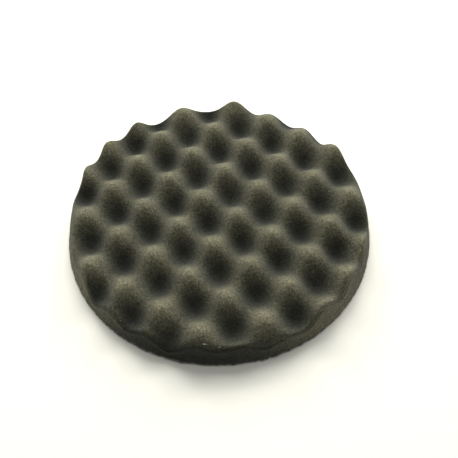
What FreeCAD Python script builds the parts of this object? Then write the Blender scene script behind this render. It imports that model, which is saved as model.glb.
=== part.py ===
import FreeCAD, Part
import math
import os

# Waffle-faced foam polishing pad with a hook-and-loop back, 8 inch size.
# The pad lies on its back: the loop fabric is down, on Z = 0, and the waffle face is up.
# The origin is the centre of the back, and +Z is the axis the pad spins about. Lengths are in mm.

# Outside of the pad
BACK_DIAMETER = 203.2         # across the loop fabric, the widest part of the pad
WALL_DRAFT = 5.6              # radius lost from the back of the foam up to the peaks
PAD_THICKNESS = 25.4          # from the loops to the tops of the peaks

# Laminated back
LOOP_THICKNESS = 2.2          # knitted ground and the brushed loops below it
FILM_THICKNESS = 0.3          # hot-melt film that bonds the fabric to the foam

# Waffle face, cut as rows of rounded peaks and dimples on a square lattice
WAFFLE_PITCH = 27.5           # from one dimple to the next along a row
WAFFLE_DEPTH = 14.3           # from the top of a peak to the bottom of a dimple
WAFFLE_TURN = -34.0           # degrees from +X to a row of dimples
WAFFLE_CENTRE = (-7.9, -8.3)  # the dimple nearest the axis of the pad

# Fineness of the surface that carries the waffle
STEPS_PER_PITCH = 8
SURFACE_MARGIN = 6.0          # how far the surface and its cutter run past the foam

BACK_RADIUS = BACK_DIAMETER / 2
FOAM_BASE = LOOP_THICKNESS + FILM_THICKNESS
FACE_MIDDLE = PAD_THICKNESS - WAFFLE_DEPTH / 2
AXIS_FOOT = FreeCAD.Vector(0, 0, 0)
UP = FreeCAD.Vector(0, 0, 1)


def laminate_layer(bottom, thickness):
    """One round layer of the laminated back, cut to the pad's full diameter."""
    return Part.makeCylinder(BACK_RADIUS, thickness, UP * bottom, UP)


def waffle_surface():
    """Peaks and dimples as one smooth surface, cut into a square tile for each dimple-to-dimple cell."""
    reach = BACK_RADIUS + math.hypot(*WAFFLE_CENTRE) + SURFACE_MARGIN
    cells = math.ceil(reach / WAFFLE_PITCH)
    steps = range(-cells * STEPS_PER_PITCH, cells * STEPS_PER_PITCH + 1)
    wave = [-WAFFLE_DEPTH / 4 * math.cos(2 * math.pi * step / STEPS_PER_PITCH) for step in steps]
    heights = [[along + across for across in wave] for along in wave]
    start = -cells * WAFFLE_PITCH
    spacing = WAFFLE_PITCH / STEPS_PER_PITCH
    whole = Part.BSplineSurface()
    whole.interpolate(heights, start, spacing, start, spacing)

    cell_starts = [cell * WAFFLE_PITCH for cell in range(-cells, cells)]
    tiles = []
    for x in cell_starts:
        for y in cell_starts:
            tile = whole.copy()
            tile.segment(x, x + WAFFLE_PITCH, y, y + WAFFLE_PITCH)
            tiles.append(tile.toShape())
    surface = Part.makeShell(tiles)
    surface.sewShape()
    surface.rotate(AXIS_FOOT, UP, WAFFLE_TURN)
    surface.translate(FreeCAD.Vector(*WAFFLE_CENTRE, FACE_MIDDLE))
    return surface


def foam_blank():
    """The round foam before its face is cut: the wall leans in from the back to the face."""
    foam_height = PAD_THICKNESS - FOAM_BASE
    blank_height = foam_height + SURFACE_MARGIN
    top_radius = BACK_RADIUS - WALL_DRAFT * blank_height / foam_height
    return Part.makeCone(BACK_RADIUS, top_radius, blank_height, UP * FOAM_BASE, UP)


def waffle_foam():
    """The open-cell foam, with everything above the waffle surface cut away."""
    above_face = waffle_surface().extrude(UP * (WAFFLE_DEPTH + 2 * SURFACE_MARGIN))
    return foam_blank().cut(above_face)


def export(name, shape):
    """Write one piece of the pad as parts/NAME.step."""
    shape.exportStep(os.path.join("parts", name + ".step"))
    print(f"{name}: {len(shape.Solids)} solid, {shape.Volume / 1000:.1f} cm3, valid {shape.isValid()}")


os.makedirs("parts", exist_ok=True)
export("waffle_foam", waffle_foam())
export("adhesive_film", laminate_layer(LOOP_THICKNESS, FILM_THICKNESS))
export("loop_fabric", laminate_layer(0.0, LOOP_THICKNESS))
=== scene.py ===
import math

import bpy
import numpy as np
from mathutils import Matrix, Vector


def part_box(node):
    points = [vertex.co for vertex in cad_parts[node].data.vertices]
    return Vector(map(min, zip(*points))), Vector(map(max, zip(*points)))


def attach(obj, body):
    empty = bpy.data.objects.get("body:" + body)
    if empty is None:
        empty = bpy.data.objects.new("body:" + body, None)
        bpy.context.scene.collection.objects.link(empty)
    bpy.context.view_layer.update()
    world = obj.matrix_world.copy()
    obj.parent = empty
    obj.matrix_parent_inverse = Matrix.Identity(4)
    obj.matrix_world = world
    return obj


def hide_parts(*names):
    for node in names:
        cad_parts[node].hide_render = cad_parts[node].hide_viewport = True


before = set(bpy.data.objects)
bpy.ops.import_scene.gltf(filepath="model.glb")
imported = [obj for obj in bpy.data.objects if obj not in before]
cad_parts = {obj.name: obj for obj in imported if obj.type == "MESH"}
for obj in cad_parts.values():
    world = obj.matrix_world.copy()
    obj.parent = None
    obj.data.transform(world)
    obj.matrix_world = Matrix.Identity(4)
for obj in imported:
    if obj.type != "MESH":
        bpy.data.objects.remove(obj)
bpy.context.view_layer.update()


# ---- Camera ----
# A 46.5 mm lens about 400 mm from the pad looks down on the waffle face from the front edge.
camera_data = bpy.data.cameras.new("camera")
camera_data.lens = 46.5
camera_data.sensor_width = 36.0
camera_data.clip_start = 0.01
camera = bpy.data.objects.new("camera", camera_data)
camera_place = Vector((0.0003, -0.2283, 0.3409))
camera_aim = Vector((0.0061, -0.0106, 0.0127))
camera_roll = math.radians(0.6)
look = (camera_aim - camera_place).to_track_quat("-Z", "Y").to_matrix().to_4x4()
camera.matrix_world = Matrix.Translation(camera_place) @ look @ Matrix.Rotation(camera_roll, 4, "Z")
bpy.context.scene.collection.objects.link(camera)
bpy.context.scene.camera = camera


# ---- Foam disc ----
# One disc of soft open-cell polyurethane foam. Rollers squash the sheet against a band knife to cut
# rounded peaks and dimples, and a round die then punches the disc out through foam and backing.
foam_low, foam_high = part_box("waffle_foam")
foam_base = foam_low.z
peak_height = foam_high.z
back_radius = (foam_high.x - foam_low.x) / 2
wall_draft = 0.0056
waffle_pitch = 0.0275
waffle_depth = 0.0143
waffle_turn = math.radians(-34.0)
waffle_centre = (-0.0079, -0.0083)
dish_x, dish_y, dish_xy, dish_drop = 0.00192, 0.00188, 0.00159, 0.0021
oval_cosine, oval_sine = 0.0097, 0.0044
broad_uneven, small_uneven = 0.00025, 0.00012
grain_height = 0.00007
wall_pinch = 0.0005
wall_ripple, wall_streaks = 0.00018, 0.00012

# Rows bunched up near the rim: direction and spread in degrees, and the shift.
bunched_rows = [(128, 10, 0.0046), (160, 11, 0.0030)]
bunching_start, bunching_width = 0.072, 0.026

# Peaks that lean outward: direction in degrees, distance from the axis, size and push.
leaning_peaks = [
    (28, 0.094, 0.014, 0.0020),
    (83, 0.095, 0.011, 0.0025),
    (107, 0.091, 0.010, 0.0012),
    (127, 0.097, 0.010, 0.0036),
    (144, 0.096, 0.010, 0.0034),
    (158, 0.098, 0.009, 0.0030),
    (171, 0.100, 0.008, 0.0022),
]
cells_across = 250
front_round, rear_round = 0.0033, 0.0020
edge_rings = 6
wall_rings = 22


def soft_noise(x, y, size, seed):
    """Smooth random heights, from -1 to 1, that change over about one size along x and y."""
    grid = np.random.default_rng(seed).uniform(-1, 1, (256, 256))
    a, b = x / size + 128, y / size + 128
    i, j = np.floor(a).astype(int), np.floor(b).astype(int)
    u, v = a - i, b - j
    u, v = u * u * (3 - 2 * u), v * v * (3 - 2 * v)
    low = grid[i % 256, j % 256] * (1 - u) + grid[(i + 1) % 256, j % 256] * u
    high = grid[i % 256, (j + 1) % 256] * (1 - u) + grid[(i + 1) % 256, (j + 1) % 256] * u
    return low * (1 - v) + high * v


def waffle_wave(x, y):
    """The waffle pattern, 2 at the middle of a dimple and -2 on a peak, with its bunched rows."""
    turn, radius = np.degrees(np.arctan2(y, x)), np.hypot(x, y)
    near_rim = np.clip((radius - bunching_start) / bunching_width, 0, 1) ** 2
    for degrees, wide, shift in bunched_rows:
        away = (turn - degrees + 180) % 360 - 180
        pull = shift * near_rim * np.exp(-((away / wide) ** 2)) / np.maximum(radius, 0.001)
        x, y = x * (1 + pull), y * (1 + pull)
    x, y = x - waffle_centre[0], y - waffle_centre[1]
    along = x * math.cos(waffle_turn) + y * math.sin(waffle_turn)
    across = y * math.cos(waffle_turn) - x * math.sin(waffle_turn)
    return np.cos(2 * math.pi * along / waffle_pitch) + np.cos(2 * math.pi * across / waffle_pitch)


def waffle_height(x, y):
    """Height of the cut face, with the slight dish and the uneven peaks that soft foam takes."""
    u, v = x / back_radius, y / back_radius
    dish = dish_x * u * u + dish_y * v * v + dish_xy * u * v - dish_drop
    uneven = broad_uneven * soft_noise(x, y, 0.011, 3) + small_uneven * soft_noise(x, y, 0.0045, 4)
    return peak_height - waffle_depth / 2 - waffle_depth / 4 * waffle_wave(x, y) + dish + uneven


def oval(angle):
    """The pad has relaxed about one percent out of round."""
    return 1 + oval_cosine * np.cos(2 * angle) + oval_sine * np.sin(2 * angle)


def wall_radius(angle, height):
    """The die-cut wall leans in from the fabric up to the peaks."""
    lean = wall_draft * (height - foam_base) / (peak_height - foam_base)
    return (back_radius - lean) * oval(angle)


def crest_radius(angle):
    """Where the wall meets the waffle face in one direction."""
    radius = np.full_like(angle, back_radius - wall_draft / 2)
    for _ in range(5):
        radius = wall_radius(angle, waffle_height(radius * np.cos(angle), radius * np.sin(angle)))
    return radius


def edge_round(angle):
    """Rounding between face and wall, larger at the front, where the rim is rubbed most."""
    return (front_round + rear_round) / 2 - (front_round - rear_round) / 2 * np.sin(angle)


def disc_grid(count):
    """Evenly spread points of a unit disc, made by bending a square grid round."""
    steps = np.linspace(-1, 1, count + 1)
    a, b = np.meshgrid(steps, steps, indexing="ij")
    wide = np.abs(a) > np.abs(b)
    with np.errstate(divide="ignore", invalid="ignore"):
        angle = np.where(wide, math.pi / 4 * b / a, math.pi / 2 - math.pi / 4 * a / b)
    angle = np.where((a == 0) & (b == 0), 0, angle)
    radius = np.where(wide, a, b)
    return radius * np.cos(angle), radius * np.sin(angle)


def grid_faces(count, start=0, flip=False):
    """The square faces of a disc grid whose first point has the number start."""
    side = count + 1
    i, j = np.meshgrid(np.arange(count), np.arange(count), indexing="ij")
    first = (i * side + j).reshape(-1) + start
    order = [first, first + 1, first + side + 1, first + side]
    return np.stack(order if flip else [order[0], order[3], order[2], order[1]], -1)


def grid_rim(count, start=0):
    """The point numbers round the outside of a disc grid, anticlockwise."""
    side = count + 1
    there, back = np.arange(count), np.arange(count, 0, -1)
    return np.concatenate([there * side, count * side + there, back * side + count, back]) + start


def band_faces(upper, lower):
    """Faces between two rings of points, the upper one above the lower."""
    return np.stack([np.roll(upper, 1), np.roll(lower, 1), lower, upper], -1)


def add_mesh(name, points, faces):
    """A new smooth mesh object from blocks of points in metres and blocks of faces."""
    mesh = bpy.data.meshes.new(name)
    corners = [face for block in faces for face in block.tolist()]
    mesh.from_pydata(np.concatenate(points).tolist(), [], corners)
    mesh.update()
    mesh.shade_smooth()
    piece = bpy.data.objects.new(name, mesh)
    bpy.context.scene.collection.objects.link(piece)
    return piece


# The waffle-cut face, as far as the rounding at its edge.
gx, gy = disc_grid(cells_across)
angle = np.arctan2(gy, gx)
reach = crest_radius(angle) - edge_round(angle)
x, y = gx * reach, gy * reach
grain = grain_height * np.random.default_rng(5).normal(size=x.shape)
points = [np.stack([x, y, waffle_height(x, y) + grain], -1).reshape(-1, 3)]
rise = [-waffle_wave(x, y).reshape(-1) / 2]
faces = [grid_faces(cells_across)]

# The rounding, then the die-cut wall down to the film, as rings of points.
rim = grid_rim(cells_across)
rim_angle = angle.reshape(-1)[rim]
crest = crest_radius(rim_angle)
rounding = edge_round(rim_angle)
crest_z = waffle_height(crest * np.cos(rim_angle), crest * np.sin(rim_angle))
rows = []
for k in range(1, edge_rings + 1):
    bend = math.pi / 2 * k / edge_rings
    radius = crest - rounding + rounding * math.sin(bend)
    z = waffle_height(radius * np.cos(rim_angle), radius * np.sin(rim_angle))
    rows.append((radius, z - rounding * (1 - math.cos(bend))))
for k in range(1, wall_rings + 1):
    share = k / wall_rings
    z = (crest_z - rounding) * (1 - share) + foam_base * share
    pinch = wall_pinch * math.sin(math.pi * share) ** 2
    ripple = wall_ripple * soft_noise(rim_angle * 0.1, z, 0.0022, 6)
    ripple += wall_streaks * soft_noise(rim_angle * 0.1, z * 0.2, 0.0013, 7)
    ripple *= math.sin(math.pi * min(share, 0.5))
    rows.append((wall_radius(rim_angle, z) - pinch + ripple, z))

# The wall's tint is painted light: painted shade makes it darkest at the front, and painted light makes it
# palest to both sides of the front.
darkest_turn = -99
from_front = np.abs((np.degrees(rim_angle) - darkest_turn + 180) % 360 - 180)
wall_painted_light = 0.85 * np.exp(-(((from_front - 50) / 20) ** 2)) - 1.1 * np.exp(-((from_front / 26) ** 2))
last = rim
total = len(points[0])
for row, (radius, z) in enumerate(rows):
    points.append(np.stack([radius * np.cos(rim_angle), radius * np.sin(rim_angle), z], -1))
    fade = max(0.0, 1 - row / (edge_rings + 3))
    face_rise = -waffle_wave(radius * np.cos(rim_angle), radius * np.sin(rim_angle)) / 2
    rise.append(fade * face_rise + (1 - fade) * wall_painted_light)
    here = np.arange(total, total + len(rim))
    faces.append(band_faces(last, here))
    total += len(rim)
    last = here

# The flat underside, hidden by the film, meets at one middle point.
points.append(np.array([[0, 0, foam_base]]))
rise.append(np.zeros(1))
faces.append(np.stack([np.roll(last, 1), np.full_like(last, total), last], -1))
body = np.concatenate(points)
for degrees, from_axis, size, push in leaning_peaks:
    turn = math.radians(degrees)
    outward = np.array([math.cos(turn), math.sin(turn)])
    away = np.hypot(*(body[:, :2] - from_axis * outward).T)
    share = np.clip((body[:, 2] - foam_base) / (peak_height - foam_base), 0, 1)
    body[:, :2] += (push * np.exp(-((away / size) ** 2)) * share)[:, None] * outward
foam = add_mesh("waffle_foam_disc", [body], faces)
# The rise values drive the foam tint, which carries painted shade in the dimples and at the front of the
# wall, and painted light on the peaks and the wall's sides; the paler peaks are partly wear too.
foam.data.attributes.new("rise", "FLOAT", "POINT").data.foreach_set("value", np.concatenate(rise))
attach(foam, "root")
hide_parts("waffle_foam")


class Nodes:
    """Short ways to add and join the nodes of one procedural material."""

    def __init__(self, name):
        self.material = bpy.data.materials.new(name)
        self.material.use_nodes = True
        self.tree = self.material.node_tree
        self.shader = self.tree.nodes["Principled BSDF"]
        self.place = self.tree.nodes.new("ShaderNodeTexCoord").outputs["Object"]

    def feed(self, socket, value):
        """Joins an output to a socket, or sets a plain value on it."""
        if isinstance(value, bpy.types.NodeSocket):
            self.tree.links.new(value, socket)
        else:
            socket.default_value = value

    def noise(self, per_metre, detail=2.0, rough=0.5):
        """Smooth noise, from about 0 to 1."""
        node = self.tree.nodes.new("ShaderNodeTexNoise")
        self.feed(node.inputs["Vector"], self.place)
        node.inputs["Scale"].default_value = per_metre
        node.inputs["Detail"].default_value = detail
        node.inputs["Roughness"].default_value = rough
        return node.outputs["Fac"]

    def cells(self, per_metre):
        """Distance from the middle of each random cell, from 0 to about 1."""
        node = self.tree.nodes.new("ShaderNodeTexVoronoi")
        self.feed(node.inputs["Vector"], self.place)
        node.inputs["Scale"].default_value = per_metre
        return node.outputs["Distance"]

    def spread(self, value, low, high, to_low, to_high):
        """Stretches a value from one range to another."""
        node = self.tree.nodes.new("ShaderNodeMapRange")
        self.feed(node.inputs["Value"], value)
        limits = {"From Min": low, "From Max": high, "To Min": to_low, "To Max": to_high}
        for socket, number in limits.items():
            node.inputs[socket].default_value = number
        return node.outputs["Result"]

    def combine(self, a, b, how="ADD"):
        """Adds or otherwise combines two numbers."""
        node = self.tree.nodes.new("ShaderNodeMath")
        node.operation = how
        self.feed(node.inputs[0], a)
        self.feed(node.inputs[1], b)
        return node.outputs["Value"]

    def ramp(self, value, stops):
        """Colours between stops of place and colour."""
        node = self.tree.nodes.new("ShaderNodeValToRGB")
        while len(node.color_ramp.elements) < len(stops):
            node.color_ramp.elements.new(0.5)
        for element, (place, colour) in zip(node.color_ramp.elements, stops):
            element.position = place
            element.color = (*colour, 1)
        self.feed(node.inputs["Fac"], value)
        return node.outputs["Color"]

    def shade(self, colour, by):
        """Multiplies a colour by a number."""
        node = self.tree.nodes.new("ShaderNodeVectorMath")
        node.operation = "SCALE"
        self.feed(node.inputs[0], colour)
        self.feed(node.inputs["Scale"], by)
        return node.outputs["Vector"]

    def colour(self, value):
        """Sets the base colour."""
        self.feed(self.shader.inputs["Base Color"], value)

    def roughness(self, pattern, low, high):
        """Lets the roughness follow a pattern between two limits."""
        self.feed(self.shader.inputs["Roughness"], self.spread(pattern, 0.3, 0.7, low, high))

    def bump(self, height, depth):
        """Raises the surface by a height map over a depth in metres."""
        node = self.tree.nodes.new("ShaderNodeBump")
        node.inputs["Distance"].default_value = depth
        self.feed(node.inputs["Height"], height)
        self.feed(self.shader.inputs["Normal"], node.outputs["Normal"])


# Charcoal foam, tinted by height: browner and paler on the peaks, partly wear and partly painted light,
# and darker and greener down in the dimples, partly painted shade. The same tint paints shade and light
# on the wall. Pores are about half a millimetre wide.
foam_look = Nodes("open_cell_foam")
wear_and_painted_shade = foam_look.tree.nodes.new("ShaderNodeAttribute")
wear_and_painted_shade.attribute_name = "rise"
blotch = foam_look.spread(foam_look.noise(75, 3.0), 0.3, 0.7, -0.16, 0.16)
height_tint = foam_look.combine(wear_and_painted_shade.outputs["Fac"], blotch)
foam_tints = [
    (0.0, (0.0118, 0.0132, 0.0096)),
    (0.25, (0.0205, 0.0215, 0.0148)),
    (0.5, (0.0430, 0.0425, 0.0282)),
    (1.0, (0.1022, 0.0975, 0.0619)),
]
foam_colour = foam_look.ramp(foam_look.spread(height_tint, -1.0, 1.0, 0.0, 1.0), foam_tints)
pores = foam_look.cells(1400)
fine = foam_look.noise(800, 3.0, 0.7)
mottle = foam_look.noise(380, 2.0, 0.6)
pore_tint = foam_look.spread(pores, 0.0, 0.75, 0.62, 1.27)
fine_tint = foam_look.spread(fine, 0.3, 0.7, 0.42, 1.58)
mottle_tint = foam_look.spread(mottle, 0.3, 0.7, 0.84, 1.16)
grain_tint = foam_look.combine(pore_tint, foam_look.combine(fine_tint, mottle_tint, "MULTIPLY"), "MULTIPLY")
foam_look.colour(foam_look.shade(foam_colour, grain_tint))
foam_look.roughness(fine, 0.9, 1.0)
foam_look.shader.inputs["Specular IOR Level"].default_value = 0.12
foam_look.shader.inputs["Sheen Weight"].default_value = 0.06
foam_look.shader.inputs["Sheen Roughness"].default_value = 0.6
foam_look.bump(foam_look.combine(foam_look.combine(pores, 0.6, "MULTIPLY"), fine), 0.0003)
foam.data.materials.append(foam_look.material)


# ---- White specks on the foam ----
# White specks on the foam near the crest, most of them at the front.
# Each is a crumpled flake under a millimetre across, its lower half sunk into the open cells.
flake_corners = 6
flake_lift = 0.00008

# Degrees round the rim, millimetres in from the crest and millimetres across.
speck_places = [
    (-96.1, 0.6, 0.50),
    (-95.7, 0.8, 0.80),
    (-95.0, 1.0, 0.55),
    (-93.2, 1.5, 0.35),
    (-90.9, 0.7, 0.60),
    (-90.5, 0.9, 0.40),
    (-45.6, 1.1, 0.50),
    (-45.0, 1.6, 0.40),
    (-128.0, 1.0, 0.40),
]
speck_random = np.random.default_rng(11)
points, faces = [], []
for degrees, inward, size in speck_places:
    turn = np.array([math.radians(degrees)])
    radius = crest_radius(turn) - inward / 1000
    x, y = radius * np.cos(turn), radius * np.sin(turn)
    middle = np.array([x[0], y[0], waffle_height(x, y)[0]])
    around = np.linspace(0, 2 * math.pi, flake_corners + 1)[:-1]
    outline = [np.cos(around), 0.6 * np.sin(around), np.zeros(flake_corners)]
    flake = np.stack(outline, -1) * size / 2000
    flake += speck_random.normal(size=(flake_corners, 3)) * size / 9000
    top_and_bottom = np.array([[0, 0, size / 4500], [0, 0, -size / 4000]])
    first = (flake_corners + 2) * len(points)
    points.append(np.concatenate([flake, top_and_bottom]) + middle + np.array([0, 0, flake_lift]))
    ring = np.arange(flake_corners) + first
    top = np.full(flake_corners, first + flake_corners)
    faces.append(np.stack([ring, np.roll(ring, -1), top], -1))
    faces.append(np.stack([np.roll(ring, -1), ring, top + 1], -1))
specks = add_mesh("white_specks", points, faces)
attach(specks, "root")
speck_look = Nodes("specks")
speck_tints = [(0.3, (0.60, 0.59, 0.52)), (0.7, (0.85, 0.84, 0.78))]
speck_look.colour(speck_look.ramp(speck_look.noise(5000), speck_tints))
speck_look.roughness(speck_look.noise(3000), 0.75, 1.0)
speck_look.bump(speck_look.noise(9000), 0.0001)
specks.data.materials.append(speck_look.material)


# ---- Adhesive film ----
# The hot-melt film that bonds the fabric to the foam, 0.3 mm thick. The hot roller presses it into
# both, and its smoky edge shows as a thin, slightly wavy line round the pad.
film_low, film_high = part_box("adhesive_film")
film_cells = 60
film_inset = 0.0004
film_waviness = 0.00018


def add_layer(name, cells, x, y, top, bottom):
    """A thin disc on a grid of points, from its top and bottom heights."""
    high = np.stack([x, y, np.broadcast_to(top, x.shape)], -1).reshape(-1, 3)
    low = np.stack([x, y, np.broadcast_to(bottom, x.shape)], -1).reshape(-1, 3)
    faces = [grid_faces(cells), grid_faces(cells, x.size, flip=True)]
    faces.append(band_faces(grid_rim(cells), grid_rim(cells, x.size)))
    return add_mesh(name, [high, low], faces)


gx, gy = disc_grid(film_cells)
angle = np.arctan2(gy, gx)
wavy = film_waviness * soft_noise(angle * 0.1, angle * 0, 0.004, 8)
reach = wall_radius(angle, film_low.z) - film_inset + wavy
film = add_layer("adhesive_film_layer", film_cells, gx * reach, gy * reach, film_high.z, film_low.z)
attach(film, "root")
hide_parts("adhesive_film")
film_look = Nodes("hot_melt_film")
film_tints = [(0.3, (0.030, 0.030, 0.026)), (0.7, (0.062, 0.060, 0.050))]
film_look.colour(film_look.ramp(film_look.noise(260, 3.0), film_tints))
film_look.roughness(film_look.noise(900), 0.3, 0.55)
film_look.bump(film_look.noise(1400, 3.0), 0.0001)
film.data.materials.append(film_look.material)


# ---- Loop fabric back ----
# A warp-knitted polyester ground, laminated to the foam by the film and punched out with it.
# Its underside is brushed into loops that the hooks of the backing plate grip.
ground_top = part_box("loop_fabric")[1].z
ground_thick = 0.0007
ground_bottom = ground_top - ground_thick
ground_inset = 0.0002
ground_fraying = 0.0003
ground_cells = 200
wale_pitch = 0.0021
knit_relief = 0.00016
gx, gy = disc_grid(ground_cells)
angle = np.arctan2(gy, gx)
frayed = ground_fraying * soft_noise(angle * 0.1, angle * 0, 0.0012, 9)
reach = wall_radius(angle, foam_base) - ground_inset + frayed
x, y = gx * reach, gy * reach
knit = knit_relief * np.sin(2 * math.pi * x / wale_pitch) * np.cos(math.pi * y / wale_pitch)
ground = add_layer("loop_fabric_ground", ground_cells, x, y, ground_top, ground_bottom + knit)
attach(ground, "root")
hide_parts("loop_fabric")
fabric_look = Nodes("brushed_loop_fabric")
strand_tint = fabric_look.noise(700, 2.0)
fabric_tints = [(0.25, (0.018, 0.019, 0.017)), (0.6, (0.040, 0.040, 0.034)), (0.85, (0.085, 0.083, 0.068))]
fabric_look.colour(fabric_look.ramp(strand_tint, fabric_tints))
fabric_look.roughness(strand_tint, 0.6, 0.85)
fabric_look.shader.inputs["Specular IOR Level"].default_value = 0.3
fabric_look.shader.inputs["Sheen Weight"].default_value = 0.15
fabric_look.bump(fabric_look.combine(fabric_look.cells(1500), fabric_look.noise(2600, 3.0)), 0.0002)
ground.data.materials.append(fabric_look.material)


def add_strands(name, lines, thick):
    """A mesh of three-sided fibres along rows of points."""
    along = np.gradient(lines, axis=1)
    along /= np.linalg.norm(along, axis=2, keepdims=True) + 1e-12
    side = np.cross(along, np.array([0.31, 0.27, 0.91]))
    side /= np.linalg.norm(side, axis=2, keepdims=True) + 1e-12
    up = np.cross(along, side)
    turns = 2 * math.pi * np.arange(3) / 3
    taper = np.interp(np.linspace(0, 1, lines.shape[1]), [0, 0.7, 1], [1, 1, 0.6])[None, :, None, None]
    cosine, sine = np.cos(turns)[:, None], np.sin(turns)[:, None]
    ring = side[:, :, None] * cosine + up[:, :, None] * sine
    tube = lines[:, :, None] + ring * taper * thick / 2
    number = np.arange(tube.shape[0] * tube.shape[1] * 3).reshape(tube.shape[0], tube.shape[1], 3)
    a, b = number[:, :-1], number[:, 1:]
    quads = np.stack([a, np.roll(a, -1, axis=2), np.roll(b, -1, axis=2), b], -1).reshape(-1, 4)
    return add_mesh(name, [tube.reshape(-1, 3)], [quads])


# The brushed loops: each leaves the ground, reaches down to the table and comes back.
loop_random = np.random.default_rng(21)
loop_count = 3900
loop_thick = 0.00013
looped_radius = 0.1003
table_gap = 0.0002
radius = looped_radius * np.sqrt(loop_random.uniform(0, 1, loop_count))
turn = loop_random.uniform(0, 2 * math.pi, loop_count)
foot = np.stack([radius * np.cos(turn), radius * np.sin(turn)], -1) * oval(turn)[:, None]
heading = loop_random.uniform(0, 2 * math.pi, loop_count)
width = loop_random.uniform(0.0007, 0.0015, loop_count)
drop = loop_random.uniform(0.75, 1.0, loop_count) * (ground_bottom - table_gap)
lean = loop_random.normal(0, 0.0005, (loop_count, 2))
t = np.linspace(0, 1, 8)
arch = np.sin(math.pi * t) ** 0.75
step = (t - 0.5)[None] * width[:, None] * (1 + 0.7 * np.sin(math.pi * t))[None]
x = foot[:, :1] + step * np.cos(heading)[:, None] + arch[None] * lean[:, :1]
y = foot[:, 1:] + step * np.sin(heading)[:, None] + arch[None] * lean[:, 1:]
z = ground_bottom + 0.0001 - drop[:, None] * arch[None]
loops = add_strands("brushed_loops", np.stack([x, y, z], -1), loop_thick)
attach(loops, "root")
loops.data.materials.append(fabric_look.material)

# The rim: the round die cuts the loops through, and their ends fray out in a short fringe with tufts.
# The big tufts are given by degrees round the rim and millimetres of length.
fringe_random = np.random.default_rng(34)
fringe_thick = 0.00013
big_tuft_turns = [-104, -103.2, -104.6, -76, -74, -71.5, -66, -61, -55, -24, -22.5, 171, 196, 214, 232, 243]
big_tuft_sizes = [1.9, 1.7, 1.5, 1.7, 1.5, 1.8, 1.4, 1.6, 1.3, 1.4, 1.2, 1.2, 1.3, 1.2, 1.3, 1.4]
small_tufts = 130
fibres_per_tuft = 13
loose_fibres = 5200
small_tuft_turns = fringe_random.uniform(0, 2 * math.pi, small_tufts)
tuft_turns = np.concatenate([np.radians(big_tuft_turns), small_tuft_turns])
tuft_sizes = np.concatenate([big_tuft_sizes, fringe_random.uniform(0.5, 1.3, small_tufts)])
turn = np.repeat(tuft_turns, fibres_per_tuft)
turn += fringe_random.normal(0, 0.006, len(turn))
reach = np.repeat(tuft_sizes, fibres_per_tuft) * fringe_random.uniform(0.35, 1.1, len(turn)) / 1000
turn = np.concatenate([turn, fringe_random.uniform(0, 2 * math.pi, loose_fibres)])
reach = np.concatenate([reach, fringe_random.uniform(0.15, 0.85, loose_fibres) / 1000])
start_z = fringe_random.uniform(0.0004, 0.0021, len(turn))
start_r = wall_radius(turn, foam_base) - 0.0005
slew = fringe_random.normal(0, 0.9, len(turn))
curl = fringe_random.uniform(-0.6, 1.2, len(turn))
t = np.linspace(0, 1, 5)
out = start_r[:, None] + (0.0004 * np.minimum(t * 3, 1))[None] + reach[:, None] * (t - 0.25 * t**3)[None]
swing = turn[:, None] + (slew * reach)[:, None] * (t**1.5)[None] / back_radius
z = start_z[:, None] - (curl * reach)[:, None] * (t**2)[None]
z = np.clip(z, 0.00012, 0.0026)
fibres = np.stack([out * np.cos(swing), out * np.sin(swing), z], -1)
fringe = add_strands("frayed_rim", fibres, fringe_thick)
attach(fringe, "root")
frayed_look = Nodes("frayed_loop_ends")
# The fringe is paler than the loops of the same fabric: painted light for the light its loose fibres catch
# at the rim.
frayed_painted_light_tints = [(0.3, (0.045, 0.043, 0.034)), (0.7, (0.130, 0.122, 0.090))]
frayed_look.colour(frayed_look.ramp(frayed_look.noise(450, 2.0), frayed_painted_light_tints))
frayed_look.roughness(frayed_look.noise(900), 0.6, 0.85)
frayed_look.shader.inputs["Sheen Weight"].default_value = 0.3
frayed_look.bump(frayed_look.noise(6000), 0.00005)
fringe.data.materials.append(frayed_look.material)


# ---- Floor and lights ----
# A plain, slightly warm white table in a pale room. Five square softboxes stand in an arc behind the
# pad, from its left round to its right, far enough off to light it evenly.
floor_corners = np.array([(-3, -3, 0), (3, -3, 0), (3, 3, 0), (-3, 3, 0)])
floor = add_mesh("floor", [floor_corners], [np.array([(0, 1, 2, 3)])])
floor_look = Nodes("white_table")
floor_tints = [(0.3, (0.76, 0.755, 0.69)), (0.7, (0.78, 0.775, 0.71))]
floor_look.colour(floor_look.ramp(floor_look.noise(3), floor_tints))
floor_look.roughness(floor_look.noise(40), 0.65, 0.75)
floor_look.shader.inputs["Specular IOR Level"].default_value = 0.1
floor.data.materials.append(floor_look.material)

world = bpy.data.worlds.new("pale_room")
world.use_nodes = True
room_light = world.node_tree.nodes["Background"]
room_light.inputs["Color"].default_value = (1.0, 1.0, 0.98, 1)
room_light.inputs["Strength"].default_value = 0.45
bpy.context.scene.world = world
bpy.context.scene.view_settings.view_transform = "Standard"

# Azimuth and elevation in degrees, and watts.
softboxes = [(90, 55, 6.3), (120, 32, 5.4), (60, 32, 4.5), (30, 14, 3.1), (150, 14, 2.2)]
softbox_size = 0.45
softbox_distance = 0.9
lit_point = Vector((0, 0, 0.015))
for number, (azimuth, elevation, watts) in enumerate(softboxes):
    light = bpy.data.lights.new(f"softbox_{number + 1}", "AREA")
    light.shape = "SQUARE"
    light.size = softbox_size
    light.energy = watts
    light.color = (1.0, 0.99, 0.95)
    softbox = bpy.data.objects.new(f"softbox_{number + 1}", light)
    a, e = math.radians(azimuth), math.radians(elevation)
    toward = Vector((math.cos(a) * math.cos(e), math.sin(a) * math.cos(e), math.sin(e)))
    face_pad = toward.to_track_quat("Z", "Y").to_matrix().to_4x4()
    softbox.matrix_world = Matrix.Translation(toward * softbox_distance + lit_point) @ face_pad
    bpy.context.scene.collection.objects.link(softbox)
